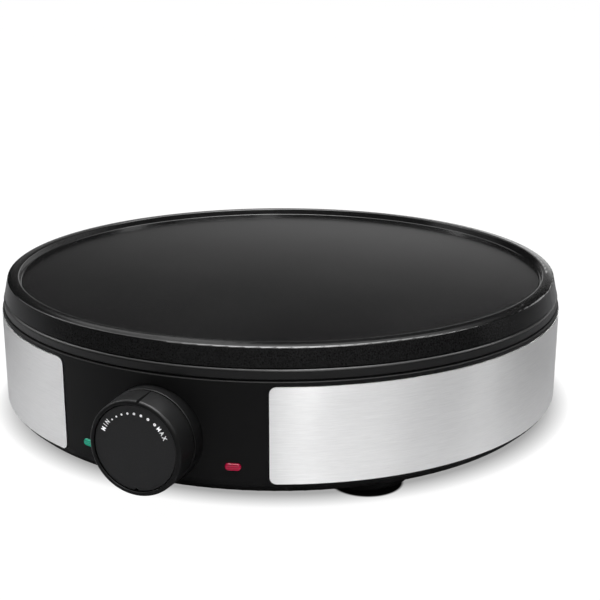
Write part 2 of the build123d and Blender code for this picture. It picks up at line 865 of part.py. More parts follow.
def dial_collar():
    bore_r = bushing_r + loose_gap
    outline = [
        (bore_r, seat_reach),
        (collar_r, seat_reach),
        (collar_r, collar_front),
        (collar_r - collar_t, collar_front),
        (collar_r - collar_t, collar_floor),
        (bore_r, collar_floor),
    ]
    collar = turned(outline, {2: collar_round})
    for side in (-1, 1):
        socket = pipe(socket_r, pin_r + thread_gap, collar_floor, socket_front)
        collar += Pos(0, side * pin_reach, 0) * socket
        hole = rod(large_r + hole_gap, seat_reach - cut, collar_floor + cut)
        collar -= Pos(side * thermostat_pitch / 2, 0, 0) * hole
    return collar


def dial_spring_clip():
    middle = shaft_flat + running_gap + clip_t / 2
    return Pos(0, middle, 0) * block(clip_w, clip_t, hub_back_reach + loose_gap, shaft_front - loose_gap)


# ---- Thermostat, made along Z ----
def thermostat_shaft():
    flat = block(4 * shaft_r, 2 * shaft_r, hub_back_reach - shaft_flat_past, outside)
    return rod(shaft_r, shaft_back, shaft_front) - Pos(0, shaft_flat + shaft_r, 0) * flat


def thermostat_body():
    case = block(thermostat_w, thermostat_h, thermostat_back, thermostat_front)
    case = fillet(case.edges().filter_by(Axis.Z), thermostat_corner_r)
    case += rod(bushing_r, thermostat_front, pad_reach + bushing_l)
    case -= rod(shaft_r + running_gap, shaft_back - loose_gap, outside)
    for side in (-1, 1):
        tip = collar_floor - thermostat_screw_l - hole_past
        hole = rod(large_r + hole_gap, tip, thermostat_front + cut)
        case -= Pos(side * thermostat_pitch / 2, 0, 0) * hole
    return case


def thermostat_plate():
    plate = block(thermostat_plate_w, thermostat_plate_h, thermostat_front, pad_reach)
    plate -= rod(bushing_r + touch_gap, thermostat_front - cut, outside)
    for side in (-1, 1):
        hole = rod(large_r + thread_gap, thermostat_front - cut, outside)
        plate -= Pos(side * thermostat_pitch / 2, 0, 0) * hole
    return plate


def thermostat_screws():
    fastener = Pos(0, 0, collar_floor) * Rot(180, 0, 0) * large_screw(thermostat_screw_l)
    return group(Pos(side * thermostat_pitch / 2, 0, 0) * fastener for side in (-1, 1))


def thermostat_tabs():
    tab = block(tab_w, tab_t, thermostat_back - tab_l, thermostat_back)
    return group(Pos(side * tab_x, -tab_drop, 0) * tab for side in (-1, 1))


def sensor_bulb():
    bulb = Rot(0, 90, 0) * Cylinder(sensor_r, sensor_l)
    return Pos(0, -sensor_reach, sensor_z) * bulb


def thermal_fuse():
    body = Cylinder(fuse_r, fuse_l) + Cylinder(fuse_lead_r, fuse_l + 2 * fuse_lead_l)
    return Pos(0, fuse_reach, fuse_z) * Rot(0, 90, 0) * body


# ---- Pilot lights, made along Z ----
def lens():
    front = pill(lens_w, lens_h, holder_front, housing_r + lens_proud)
    front = fillet(front.faces().sort_by(Axis.Z)[-1].edges(), lens_edge_r)
    flange_w = lens_w + 2 * lens_flange
    flange_h = lens_h + 2 * lens_flange
    return front + pill(flange_w, flange_h, holder_front, holder_front + lens_flange_t)


def lamp_holder():
    case = block(holder_w, holder_h, holder_back, holder_front)
    floor = holder_back + holder_wall
    case -= block(holder_w - 2 * holder_wall, holder_h - 2 * holder_wall, floor, holder_front + cut)
    for side in (-1, 1):
        hole = rod(lead_r + touch_gap, holder_back - cut, floor + cut)
        case -= Pos(side * lead_pitch / 2, 0, 0) * hole
    return case


def neon_lamp():
    """A glass lamp and its two leads, which reach out behind its holder."""
    floor = holder_back + holder_wall
    glass = rod(neon_r, floor, floor + neon_l)
    glass = fillet(glass.edges().sort_by(Axis.Z)[-1], neon_tip_r)
    for side in (-1, 1):
        glass += Pos(side * lead_pitch / 2, 0, 0) * rod(lead_r, floor - lead_l, floor)
    return glass


# ---- Mains inlet ----
def cord_gland():
    outline = [
        (cord_bore_r, gland_inside - gland_lip_t),
        (gland_lip_r, gland_inside - gland_lip_t),
        (gland_lip_r, gland_inside),
        (gland_r, gland_inside),
        (gland_r, gland_seat),
        (gland_flange_r, gland_seat),
        (gland_flange_r, gland_reach),
        (cord_bore_r, gland_reach),
    ]
    return turned(outline, {6: gland_round})


def cord_groove(radius):
    return facing_out(rod(radius, saddle_reach - saddle_d, saddle_reach + saddle_d), cord_z, 180)


def cord_clamp():
    clamp = placed(block(saddle_w, saddle_d, cord_z, cord_z + clamp_h), 180, saddle_reach)
    clamp -= cord_groove(cord_grip_r)
    for side in (-1, 1):
        hole = Pos(side * clamp_pitch / 2, 0, 0) * rod(small_r + hole_gap, 0, cord_z + clamp_h + cut)
        clamp -= placed(hole, 180, saddle_reach)
    return clamp


def cord_clamp_screws():
    fastener = Pos(0, 0, cord_z + clamp_h) * Rot(180, 0, 0) * small_screw(clamp_screw_l)
    places = (Pos(side * clamp_pitch / 2, 0, 0) for side in (-1, 1))
    return group(placed(place * fastener, 180, saddle_reach) for place in places)


def terminal_ways():
    return [terminal_x + step * terminal_pitch for step in (-1, 0, 1)]


def terminal_block():
    body = block(terminal_w, terminal_d, cover_top_z, cover_top_z + terminal_h)
    body = Pos(terminal_x, terminal_reach, 0) * body
    for x in terminal_ways():
        bore = Pos(x, terminal_reach, terminal_z) * Rot(90, 0, 0) * Cylinder(terminal_bore_r, 2 * terminal_d)
        shaft = rod(small_r + thread_gap, terminal_z, cover_top_z + terminal_h + cut)
        body -= bore
        body -= Pos(x, terminal_reach, 0) * shaft
    return body


def terminal_block_screws():
    top = cover_top_z + terminal_h - loose_gap
    grub = rod(small_r, top - terminal_screw_l, top)
    grub -= block(3 * small_r, small_r / 2, top - small_r, top + cut)
    return group(Pos(x, terminal_reach, 0) * grub for x in terminal_ways())


def earth_tag():
    strip = placed(block(boss_r * 2, earth_tag_l + boss_r, earth_z - strap_t, earth_z), 0, earth_tag_middle())
    hole = rod(small_r + hole_gap, earth_z - cut - strap_t, earth_z + cut)
    return Rot(0, 0, earth_angle) * (strip - placed(hole, 0, earth_reach))


def earth_tag_middle():
    return earth_reach + (boss_r - earth_tag_l) / 2


def earth_screw():
    return placed(Pos(0, 0, earth_z - strap_t) * small_screw(strap_screw_l), earth_angle, earth_reach)


# ---- Wires and capillary tube: each route is a list of points ----
def capillary_route():
    down_x = sensor_l / 2 + capillary_out
    down_y = -sensor_reach - capillary_back
    exit_z = dial_z + capillary_rise
    return [
        Vector(sensor_l / 2, -sensor_reach, sensor_z),
        Vector(down_x, -sensor_reach, sensor_z),
        Vector(down_x, down_y, sensor_z - capillary_sag),
        Vector(down_x, down_y, exit_z + capillary_dip),
        Vector(capillary_x, -thermostat_back + capillary_lead, exit_z),
        Vector(capillary_x, -thermostat_back, exit_z),
    ]


def live_route():
    x = terminal_ways()[0]
    return [
        Vector(x, terminal_reach - terminal_d / 2 + wire_in, terminal_z),
        Vector(x, terminal_reach - live_lead, terminal_z),
        Vector(x + live_side, -crossing_reach, terminal_z + live_rise),
        Vector(-tab_x, -thermostat_back + live_tab_lead, tab_z),
        Vector(-tab_x, -thermostat_back + tab_l, tab_z),
    ]


def switched_route():
    side_x = fuse_lead_x + switched_side
    return [
        Vector(tab_x, -thermostat_back + tab_l, tab_z),
        Vector(tab_x, -thermostat_back + switched_tab_lead, tab_z),
        Vector(side_x + switched_bow, -crossing_reach, tab_z + switched_rise),
        Vector(side_x, fuse_reach, tab_z + 2 * switched_rise),
        Vector(side_x, fuse_reach, fuse_z),
        Vector(fuse_lead_x, fuse_reach, fuse_z),
    ]


def fuse_route():
    leg = heater_leg_place(-1)
    return [
        Vector(-fuse_lead_x, fuse_reach, fuse_z),
        Vector(-fuse_wire_x, fuse_reach, fuse_z),
        Vector(-fuse_wire_x, fuse_reach, pin_end_z),
        Vector(leg.X - fuse_wire_bow, leg.Y - fuse_wire_back, pin_end_z - fuse_wire_dip),
        Vector(leg.X, leg.Y, pin_end_z - pin_lead),
        Vector(leg.X, leg.Y, pin_end_z),
    ]


def neutral_route():
    x = terminal_ways()[2]
    leg = heater_leg_place(1)
    low_z = terminal_z + neutral_rise
    return [
        Vector(x, terminal_reach - terminal_d / 2 + wire_in, terminal_z),
        Vector(x, terminal_reach - terminal_d / 2 - neutral_lead, terminal_z),
        Vector(leg.X - neutral_side, leg.Y - neutral_back, low_z),
        Vector(leg.X, leg.Y - neutral_turn_l, low_z),
        Vector(leg.X, leg.Y, low_z + neutral_turn_h),
        Vector(leg.X, leg.Y, pin_end_z),
    ]


def earth_route():
    x = terminal_ways()[1]
    tag_reach = earth_reach - earth_tag_l
    end = place_of(earth_angle, tag_reach, earth_z - strap_t / 2)
    low = place_of(earth_angle, tag_reach - earth_lead, earth_z - strap_t / 2)
    return [
        Vector(x, terminal_reach - terminal_d / 2 + wire_in, terminal_z),
        Vector(x, low.Y + earth_bow, terminal_z),
        Vector(low.X, low.Y, terminal_z + earth_turn_h),
        low,
        end,
    ]


def reflector_run(route):
    """The number of the point under which the route passes through the reflector."""
    heights = [point.Z > reflector_z for point in route]
    first_above = heights.index(True)
    return first_above if first_above > 0 else len(heights) - 1 - heights[::-1].index(True)


# ---- The pieces ----
nodes = {
    "cooking_plate": cooking_plate(),
    "plate_trim_ring": plate_trim_ring(),
    "heating_element": heating_element(),
    "heater_pins": heater_pins(),
    "heater_insulators": heater_insulators(),
    "heat_reflector": heat_reflector(),
    "plate_spacers": plate_spacers(),
    "plate_screws": plate_screws(),
    "housing": housing(),
    "steel_panel_left": steel_panel(-1),
    "steel_panel_right": steel_panel(1),
    "base_cover": base_cover(),
    "foot_screws": foot_screws(),
    "case_screws": case_screws(),
    "dial_grip_ring": at_rest(dial_grip_ring()),
    "dial_scale_disc": facing_out(scale_disc(), dial_z),
    "dial_collar": facing_out(dial_collar(), dial_z),
    "dial_spring_clip": at_rest(dial_spring_clip()),
    "thermostat_shaft": at_rest(thermostat_shaft()),
    "thermostat_body": facing_out(thermostat_body(), dial_z),
    "thermostat_plate": facing_out(thermostat_plate(), dial_z),
    "thermostat_screws": facing_out(thermostat_screws(), dial_z),
    "thermostat_tabs": facing_out(thermostat_tabs(), dial_z),
    "capillary_tube": cable(capillary_r, capillary_route(), capillary_bend),
    "sensor_bulb": sensor_bulb(),
    "sensor_strap": strap(*sensor_strap),
    "thermal_fuse": thermal_fuse(),
    "fuse_strap": strap(*fuse_strap),
    "strap_screws": group([strap_screw(*sensor_strap), strap_screw(*fuse_strap)]),
    "cord_gland": facing_out(cord_gland(), cord_z, 180),
    "cord_clamp": cord_clamp(),
    "cord_clamp_screws": cord_clamp_screws(),
    "terminal_block": terminal_block(),
    "terminal_block_screws": terminal_block_screws(),
    "earth_tag": earth_tag(),
    "earth_screw": earth_screw(),
    "wire_live": cable(wire_r, live_route(), wire_bend),
    "wire_switched": cable(wire_r, switched_route(), wire_bend),
    "wire_fuse": cable(wire_r, fuse_route(), wire_bend),
    "wire_neutral": cable(wire_r, neutral_route(), wire_bend),
    "wire_earth": cable(wire_r, earth_route(), wire_bend),
}
for place, angle in foot_places.items():
    nodes[f"foot_{place}"] = placed(foot(), angle, foot_reach)
for colour, side in {"green": -1, "red": 1}.items():
    nodes[f"lens_{colour}"] = facing_out(lens(), lamp_z, side * lamp_angle)
    nodes[f"lamp_holder_{colour}"] = facing_out(lamp_holder(), lamp_z, side * lamp_angle)
    nodes[f"neon_lamp_{colour}"] = facing_out(neon_lamp(), lamp_z, side * lamp_angle)

os.makedirs("parts", exist_ok=True)
for name, shape in nodes.items():
    export_step(Pos(0, axis_y, 0) * shape, f"parts/{name}.step")
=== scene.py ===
import json
import math

import bmesh
import bpy
from mathutils import Matrix, Vector


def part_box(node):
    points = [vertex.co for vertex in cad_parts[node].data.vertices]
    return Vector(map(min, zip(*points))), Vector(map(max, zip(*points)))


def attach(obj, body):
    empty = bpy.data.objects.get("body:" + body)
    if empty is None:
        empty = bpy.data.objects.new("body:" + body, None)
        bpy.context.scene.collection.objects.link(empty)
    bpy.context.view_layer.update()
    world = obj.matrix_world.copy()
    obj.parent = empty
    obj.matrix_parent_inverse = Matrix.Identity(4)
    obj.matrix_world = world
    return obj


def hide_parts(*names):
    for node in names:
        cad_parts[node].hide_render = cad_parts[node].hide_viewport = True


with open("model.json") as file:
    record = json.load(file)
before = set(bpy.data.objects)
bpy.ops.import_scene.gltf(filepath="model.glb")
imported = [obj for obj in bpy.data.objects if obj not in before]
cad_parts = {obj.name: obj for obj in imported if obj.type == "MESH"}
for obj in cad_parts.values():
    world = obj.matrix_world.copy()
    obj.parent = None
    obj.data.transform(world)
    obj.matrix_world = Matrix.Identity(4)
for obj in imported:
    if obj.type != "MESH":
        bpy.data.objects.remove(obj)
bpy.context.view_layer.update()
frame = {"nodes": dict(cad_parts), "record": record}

# Electric crepe maker. Metres, +Z up, standing on Z = 0, with the dial towards -Y.
#
# The solids are the frame's own. This script gives each of them its finish, prints the dial's scale,
# stands a finer turned trim ring in for the frame's faceted one, and adds the studio. What it adds to
# the part is placed by the nodes that carry it.

MM = 0.001


# ---- Places that the frame gives ----
def span(node):
    """The lowest and highest corner of a node, and its middle."""
    low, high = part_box(node)
    return low, high, (low + high) / 2


AXIS_Y = span("cooking_plate")[2].y
DISC_X = span("dial_scale_disc")[2].x
DISC_FACE_Y = span("dial_scale_disc")[0].y
DIAL_Z = span("dial_grip_ring")[2].z


def placed(name, data):
    """A new object with this data, linked into the scene."""
    made = bpy.data.objects.new(name, data)
    bpy.context.scene.collection.objects.link(made)
    return made


# ---- Node trees ----
NOISE_RANGE = (0.3, 0.7)  # where nearly all of a noise's values lie


class Nodes:
    """A node tree under construction. Its methods add a node and return what comes out of it."""

    def __init__(self, tree):
        self.tree = tree

    def node(self, kind, **settings):
        made = self.tree.nodes.new(kind)
        for key, value in settings.items():
            setattr(made, key, value)
        return made

    def link(self, source, target):
        self.tree.links.new(source, target)

    def feed(self, value, target):
        """Gives an input a number, or links an output to it."""
        if isinstance(value, (int, float)):
            target.default_value = value
        else:
            self.link(value, target)

    def split(self, vector):
        """The X, Y and Z of a vector."""
        made = self.node("ShaderNodeSeparateXYZ")
        self.link(vector, made.inputs["Vector"])
        return made.outputs

    def ranged(self, value, low, high, to_low, to_high):
        """The value, with low to high turned into to_low to to_high."""
        change = self.node("ShaderNodeMapRange")
        limits = (low, high, to_low, to_high)
        for key, limit in zip(("From Min", "From Max", "To Min", "To Max"), limits):
            self.feed(limit, change.inputs[key])
        self.feed(value, change.inputs["Value"])
        return change.outputs["Result"]

    def spread(self, noise, to_low=0.0, to_high=1.0):
        """A noise, spread out from to_low to to_high."""
        return self.ranged(noise, *NOISE_RANGE, to_low, to_high)

    def maths(self, operation, first, second):
        made = self.node("ShaderNodeMath", operation=operation)
        for index, value in enumerate((first, second)):
            self.feed(value, made.inputs[index])
        return made.outputs["Value"]

    def vector_maths(self, operation, first, second):
        """A number worked out from a vector and a fixed point or direction."""
        made = self.node("ShaderNodeVectorMath", operation=operation)
        self.link(first, made.inputs[0])
        made.inputs[1].default_value = second
        return made.outputs["Value"]


class Paint(Nodes):
    """A procedural material: a Principled shader, and the nodes that feed it."""

    def __init__(self, name, roughness=0.5, metallic=0.0, specular=0.5):
        self.material = bpy.data.materials.new(name)
        self.material.use_nodes = True
        super().__init__(self.material.node_tree)
        self.shader = self.tree.nodes["Principled BSDF"]
        self.constants(
            {"Roughness": roughness, "Metallic": metallic, "Specular IOR Level": specular}
        )
        self.place = self.node("ShaderNodeTexCoord").outputs["Object"]

    def constants(self, values):
        for key, value in values.items():
            self.shader.inputs[key].default_value = value

    def stretched(self, scale):
        """The object's coordinates, with each axis scaled by itself."""
        mapping = self.node("ShaderNodeMapping")
        mapping.inputs["Scale"].default_value = scale
        self.link(self.place, mapping.inputs["Vector"])
        return mapping.outputs["Vector"]

    def noise(self, size, detail=3.0, roughness=0.55, along=(1, 1, 1)):
        """Noise whose lumps are about size metres across, longer along an axis with a small share."""
        texture = self.node("ShaderNodeTexNoise")
        texture.inputs["Scale"].default_value = 1.0
        texture.inputs["Detail"].default_value = detail
        texture.inputs["Roughness"].default_value = roughness
        self.link(self.stretched([share / size for share in along]), texture.inputs["Vector"])
        return texture.outputs["Fac"]

    def flecks(self, size, low, high):
        """Small round flecks, 1 in their middle and 0 between them."""
        texture = self.node("ShaderNodeTexVoronoi")
        texture.inputs["Scale"].default_value = 1.0
        self.link(self.stretched([1 / size] * 3), texture.inputs["Vector"])
        return self.ranged(texture.outputs["Distance"], low, high, 1.0, 0.0)

    def mixed(self, share, first, second):
        """A colour from first to second, as the share goes from 0 to 1."""
        mix = self.node("ShaderNodeMix", data_type="RGBA")
        self.link(share, mix.inputs["Factor"])
        for key, colour in (("A", first), ("B", second)):
            socket = next(s for s in mix.inputs if s.name == key and s.type == "RGBA")
            if isinstance(colour, tuple):
                socket.default_value = (*colour, 1.0)
            else:
                self.link(colour, socket)
        return next(s for s in mix.outputs if s.type == "RGBA")

    def colour(self, source):
        self.link(source, self.shader.inputs["Base Color"])

    def roughness(self, source):
        self.link(source, self.shader.inputs["Roughness"])

    def bump(self, height, depth, strength=1.0):
        """Relief of this depth in metres, from a height of 0 to 1."""
        relief = self.node("ShaderNodeBump")
        relief.inputs["Strength"].default_value = strength
        relief.inputs["Distance"].default_value = depth
        self.link(height, relief.inputs["Height"])
        self.link(relief.outputs["Normal"], self.shader.inputs["Normal"])


def grey(level):
    return (level, level, level * 1.02)


# ---- Finishes ----
def coated_plate():
    """Dark non-stick coating, smooth with a few faint flecks on top and pebbled on its side wall, where
    the pebbles are painted pale so that the wall reads lighter: partly its real texture, partly painted
    light.
    """
    paint = Paint("plate_coating", specular=0.25)
    grain = paint.noise(0.9 * MM, detail=4)
    cloud = paint.noise(60 * MM, detail=2)
    normal = paint.node("ShaderNodeNewGeometry").outputs["Normal"]
    # Painted light: where the surface faces sideways, pale pebbles are mixed in, so that the side wall
    # reads lighter than the top.
    side = paint.ranged(paint.split(normal)["Z"], 0.1, 0.4, 0.55, 0.0)
    flecks = paint.maths("MULTIPLY", paint.flecks(1.3 * MM, 0.04, 0.2), 0.15)
    pebbles = paint.spread(paint.noise(0.8 * MM, detail=2))
    light = paint.maths("ADD", flecks, paint.maths("MULTIPLY", pebbles, side))
    base = paint.mixed(paint.ranged(grain, 0.3, 0.75, 0, 1), grey(0.002), grey(0.005))
    paint.colour(paint.mixed(light, base, grey(0.055)))
    gloss = paint.spread(grain, 0.13, 0.19)
    paint.roughness(paint.maths("ADD", gloss, paint.maths("MULTIPLY", cloud, 0.03)))
    paint.bump(grain, 0.008 * MM, 0.5)
    return paint.material


def brushed_steel():
    """Stainless sheet, with fine scratches round the body that spread each highlight up and down."""
    paint = Paint("steel_panel", metallic=1.0)
    paint.constants({"Anisotropic": 0.9})
    up = paint.node("ShaderNodeCombineXYZ")
    up.inputs["Z"].default_value = 1.0
    paint.link(up.outputs["Vector"], paint.shader.inputs["Tangent"])
    hair = paint.noise(0.22 * MM, detail=3, roughness=0.7, along=(0.03, 0.03, 1))
    streak = paint.noise(0.8 * MM, detail=2, along=(0.05, 0.05, 1))
    cloud = paint.noise(40 * MM, detail=2)
    lines = paint.maths("ADD", paint.maths("MULTIPLY", hair, 0.7), paint.maths("MULTIPLY", streak, 0.3))
    paint.colour(paint.mixed(paint.spread(lines), (0.75, 0.75, 0.745), (0.86, 0.86, 0.855)))
    gloss = paint.spread(lines, 0.29, 0.34)
    paint.roughness(paint.maths("ADD", gloss, paint.spread(cloud, -0.02, 0.02)))
    paint.bump(lines, 0.004 * MM, 0.4)
    return paint.material


def moulded(name, level, size, roughness, depth, specular):
    """Black moulding with a spark-eroded grain."""
    paint = Paint(name, specular=specular)
    grain = paint.noise(size)
    cloud = paint.noise(45 * MM, detail=2)
    paint.colour(paint.mixed(grain, grey(level * 0.75), grey(level * 1.25)))
    gloss = paint.spread(grain, roughness - 0.04, roughness + 0.04)
    paint.roughness(paint.maths("ADD", gloss, paint.spread(cloud, -0.03, 0.03)))
    paint.bump(grain, depth, 0.5)
    return paint.material


def bright_metal(name, dark, light, roughness, size=0.5 * MM):
    """Bare metal, slightly stained."""
    paint = Paint(name, metallic=1.0)
    grain = paint.noise(size)
    stain = paint.noise(9 * MM)
    paint.colour(paint.mixed(paint.spread(stain), dark, light))
    paint.roughness(paint.spread(grain, roughness - 0.06, roughness + 0.08))
    paint.bump(grain, 0.01 * MM, 0.4)
    return paint.material


def plain_moulding(name, dark, light, roughness, size=1.5 * MM):
    """A moulding, ceramic or wire sleeve that only shows with the part taken apart."""
    paint = Paint(name)
    grain = paint.noise(size)
    paint.colour(paint.mixed(paint.spread(grain), dark, light))
    paint.roughness(paint.spread(grain, roughness - 0.05, roughness + 0.05))
    paint.bump(grain, 0.02 * MM, 0.4)
    return paint.material


def tinted_lens(name, deep, pale):
    """Tinted plastic with a faint painted glow in its own tint, and faint ribs inside that run along
    the lens.
    """
    paint = Paint(name, roughness=0.12, specular=0.25)
    ribs = paint.node("ShaderNodeTexWave", wave_type="BANDS", bands_direction="Z")
    ribs.inputs["Scale"].default_value = 1.0
    ribs.inputs["Distortion"].default_value = 0.6
    paint.link(paint.stretched([40, 40, 330]), ribs.inputs["Vector"])
    cloud = paint.ranged(paint.noise(1.6 * MM, detail=2), 0.25, 0.75, 0.55, 1.0)
    tint_and_painted_glow = paint.mixed(paint.maths("MULTIPLY", ribs.outputs["Fac"], cloud), deep, pale)
    paint.colour(tint_and_painted_glow)
    # Painted light: the tint is also given off as a faint glow, though the lens is no lamp.
    paint.link(tint_and_painted_glow, paint.shader.inputs["Emission Color"])
    paint.constants({"Emission Strength": 0.3, "Coat Weight": 0.15, "Coat Roughness": 0.05})
    paint.constants({"Subsurface Weight": 0.15, "Subsurface Scale": 1 * MM})
    return paint.material


def neon_glass():
    """Clear glass with a faint orange cast."""
    paint = Paint("lamp_glass", roughness=0.05)
    paint.constants({"Transmission Weight": 0.9, "IOR": 1.45})
    swirl = paint.noise(2 * MM, detail=2)
    paint.colour(paint.mixed(swirl, (0.95, 0.85, 0.78), (1.0, 0.95, 0.9)))
    return paint.material


def printed_ink():
    """Pad-printed white ink, a little uneven, with a painted glow that makes it read brighter than the
    lamps light it.
    """
    paint = Paint("white_ink", roughness=0.45, specular=0.3)
    grain = paint.noise(0.25 * MM, detail=2)
    paint.colour(paint.mixed(paint.spread(grain), grey(0.82), grey(0.93)))
    paint.bump(grain, 0.005 * MM, 0.3)
    # Painted light: the ink glows white a little.
    paint.constants({"Emission Color": (1, 1, 1, 1), "Emission Strength": 0.4})
    return paint.material


# Grey level, grain size, roughness, grain depth, specular level.
MOULDINGS = {
    "trim_ring": (0.003, 0.8 * MM, 0.36, 0.02 * MM, 0.30),
    "housing_plastic": (0.0055, 0.6 * MM, 0.50, 0.03 * MM, 0.11),
    "foot_rubber": (0.008, 1.2 * MM, 0.75, 0.03 * MM, 0.1),
    "dial_plastic": (0.0095, 0.7 * MM, 0.34, 0.015 * MM, 0.11),
    "disc_plastic": (0.031, 0.5 * MM, 0.50, 0.01 * MM, 0.15),
    "gland_plastic": (0.014, 0.8 * MM, 0.45, 0.02 * MM, 0.15),
}
# Darker colour, lighter colour, roughness, and for some the grain size.
METALS = {
    "screw_steel": ((0.42, 0.43, 0.45), (0.62, 0.62, 0.60), 0.32),
    "spring_steel": ((0.50, 0.50, 0.51), (0.66, 0.66, 0.66), 0.25),
    "shaft_steel": ((0.52, 0.52, 0.52), (0.68, 0.68, 0.67), 0.28),
    "heater_sheath": ((0.20, 0.16, 0.15), (0.40, 0.36, 0.31), 0.45),
    "reflector_sheet": ((0.62, 0.62, 0.64), (0.78, 0.78, 0.79), 0.30, 2 * MM),
    "terminal_brass": ((0.55, 0.38, 0.14), (0.74, 0.56, 0.26), 0.30),
    "copper_tube": ((0.55, 0.26, 0.15), (0.78, 0.44, 0.30), 0.32),
    "fuse_metal": ((0.55, 0.55, 0.53), (0.70, 0.70, 0.68), 0.30),
}
PLAIN_MOULDINGS = {
    "ceramic_bead": ((0.72, 0.68, 0.60), (0.86, 0.83, 0.77), 0.75),
    "thermostat_phenolic": ((0.07, 0.035, 0.02), (0.13, 0.07, 0.045), 0.45),
    "holder_plastic": ((0.66, 0.63, 0.56), (0.80, 0.78, 0.72), 0.50),
    "terminal_plastic": ((0.70, 0.67, 0.60), (0.84, 0.82, 0.77), 0.50),
    "wire_brown": ((0.10, 0.045, 0.022), (0.15, 0.07, 0.04), 0.50),
    "wire_blue": ((0.02, 0.08, 0.30), (0.035, 0.12, 0.40), 0.50),
    "wire_green": ((0.07, 0.30, 0.04), (0.50, 0.52, 0.05), 0.50, 6 * MM),
}
# Deeper tint, paler tint.
LENSES = {
    "lens_green": ((0.0, 0.22, 0.13), (0.0, 0.58, 0.36)),
    "lens_red": ((0.28, 0.002, 0.025), (0.62, 0.010, 0.07)),
}


def slot_materials():
    """One finish for each material slot of the record."""
    made = {"plate_coating": coated_plate(), "steel_panel": brushed_steel(), "lamp_glass": neon_glass()}
    kinds = (
        (moulded, MOULDINGS),
        (bright_metal, METALS),
        (plain_moulding, PLAIN_MOULDINGS),
        (tinted_lens, LENSES),
    )
    for kind, rows in kinds:
        for name, row in rows.items():
            made[name] = kind(name, *row)
    return made


def dress(piece, material):
    piece.data.materials.clear()
    piece.data.materials.append(material)


def dress_frame(materials):
    for part in frame["record"]["subparts"]:
        dress(frame["nodes"][part["node"]], materials[part["material_slot"]])


# ---- Print on the scale disc ----
INK_T = 0.05 * MM
LETTER_H = 2.3 * MM
LETTER_WIDTH = 0.80  # condensed, as a share of the font's own width
LETTER_SWELL = 0.07 * MM
CAPITAL_SHARE = 0.72  # height of a capital, as a share of the font's size
DOT_COUNT = 8
DOT_ARC_R = 17.3 * MM
DOT_START_DEG = -42.2
DOT_STEP_DEG = 9.5
DOT_SPREAD_DEG = 0.295  # the steps get longer towards the maximum
DOT_FIRST_R, DOT_LAST_R = 0.45 * MM, 0.80 * MM
DOT_TOP_SHARE = 0.94  # one end of a dot is a little smaller, which softens its edge
DOT_SEGMENTS = 32
# Word, middle in degrees clockwise from the top, radius of its arc, letter to letter.
WORDS = (("MIN", -58.4, 18.0 * MM, 2.2 * MM), ("MAX", 56.3, 17.3 * MM, 2.5 * MM))


def on_disc(degrees, arc_r):
    """A place on the face of the scale disc, at this angle clockwise from the top, and its turn."""
    turn = math.radians(degrees)
    x = DISC_X + arc_r * math.sin(turn)
    z = DIAL_Z + arc_r * math.cos(turn)
    stand = Matrix.Rotation(turn, 4, "Y") @ Matrix.Rotation(math.radians(90), 4, "X")
    return Matrix.Translation((x, DISC_FACE_Y, z)) @ stand


def add_print(name, parts, ink):
    """One piece of print on the disc, from pairs of (mesh, matrix)."""
    made = bmesh.new()
    for mesh, matrix in parts:
        mesh.transform(matrix)
        made.from_mesh(mesh)
        bpy.data.meshes.remove(mesh)
    mesh = bpy.data.meshes.new(name)
    made.to_mesh(mesh)
    made.free()
    piece = placed(name, mesh)
    dress(piece, ink)
    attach(piece, "base")


def letter_mesh(letter):
    """A bold condensed letter, centred, INK_T thick."""
    curve = bpy.data.curves.new("letter", "FONT")
    curve.body = letter
    curve.align_x = "CENTER"
    curve.align_y = "CENTER"
    curve.size = LETTER_H / CAPITAL_SHARE
    curve.offset = LETTER_SWELL
    curve.extrude = INK_T / 2
    holder = placed("letter", curve)
    bpy.context.view_layer.update()
    mesh = bpy.data.meshes.new_from_object(holder.evaluated_get(bpy.context.evaluated_depsgraph_get()))
    bpy.data.objects.remove(holder)
    bpy.data.curves.remove(curve)
    mesh.transform(Matrix.Diagonal((LETTER_WIDTH, 1, 1, 1)))
    return mesh


def print_word(word, middle_deg, arc_r, step, ink):
    step_deg = math.degrees(step / arc_r)
    first = middle_deg - step_deg * (len(word) - 1) / 2
    parts = []
    for index, letter in enumerate(word):
        parts.append((letter_mesh(letter), on_disc(first + index * step_deg, arc_r)))
    add_print("dial_print_" + word.lower(), parts, ink)


def dot_mesh(radius):
    """A round spot of ink, INK_T thick."""
    made = bmesh.new()
    bmesh.ops.create_cone(
        made,
        cap_ends=True,
        segments=DOT_SEGMENTS,
        radius1=radius,
        radius2=radius * DOT_TOP_SHARE,
        depth=INK_T,
    )
    mesh = bpy.data.meshes.new("dot")
    made.to_mesh(mesh)
    made.free()
    return mesh


def print_dots(ink):
    parts = []
    for index in range(DOT_COUNT):
        share = index / (DOT_COUNT - 1)
        degrees = DOT_START_DEG + DOT_STEP_DEG * index + DOT_SPREAD_DEG * index**2
        radius = DOT_FIRST_R + share * (DOT_LAST_R - DOT_FIRST_R)
        parts.append((dot_mesh(radius), on_disc(degrees, DOT_ARC_R)))
    add_print("dial_print_dots", parts, ink)


# ---- Trim ring, turned with far more segments than the frame's own mesh ----
TURN_SEGMENTS = 720
ARC_STEPS = 8
SHARP_DEG = 30.0
LIP_ROUND, LIP_FOOT_ROUND = 1.7 * MM, 0.5 * MM
SEAM_IN, SEAM_H = 1.1 * MM, 0.8 * MM
RING_LAND_W = 10.5 * MM


def rounded(points, rounds):
    """The outline through points of (radius, height), with an arc of this radius at some of them."""
    outline = []
    for index, point in enumerate(points):
        corner = Vector(point)
        if index not in rounds:
            outline.append(corner)
            continue
        before = (Vector(points[index - 1]) - corner).normalized()
        after = (Vector(points[(index + 1) % len(points)]) - corner).normalized()
        half = before.angle(after) / 2
        middle = corner + (before + after).normalized() * (rounds[index] / math.sin(half))
        reach = rounds[index] / math.tan(half)
        start, end = corner + before * reach - middle, corner + after * reach - middle
        for step in range(ARC_STEPS + 1):
            outline.append(middle + start.lerp(end, step / ARC_STEPS).normalized() * rounds[index])
    return outline


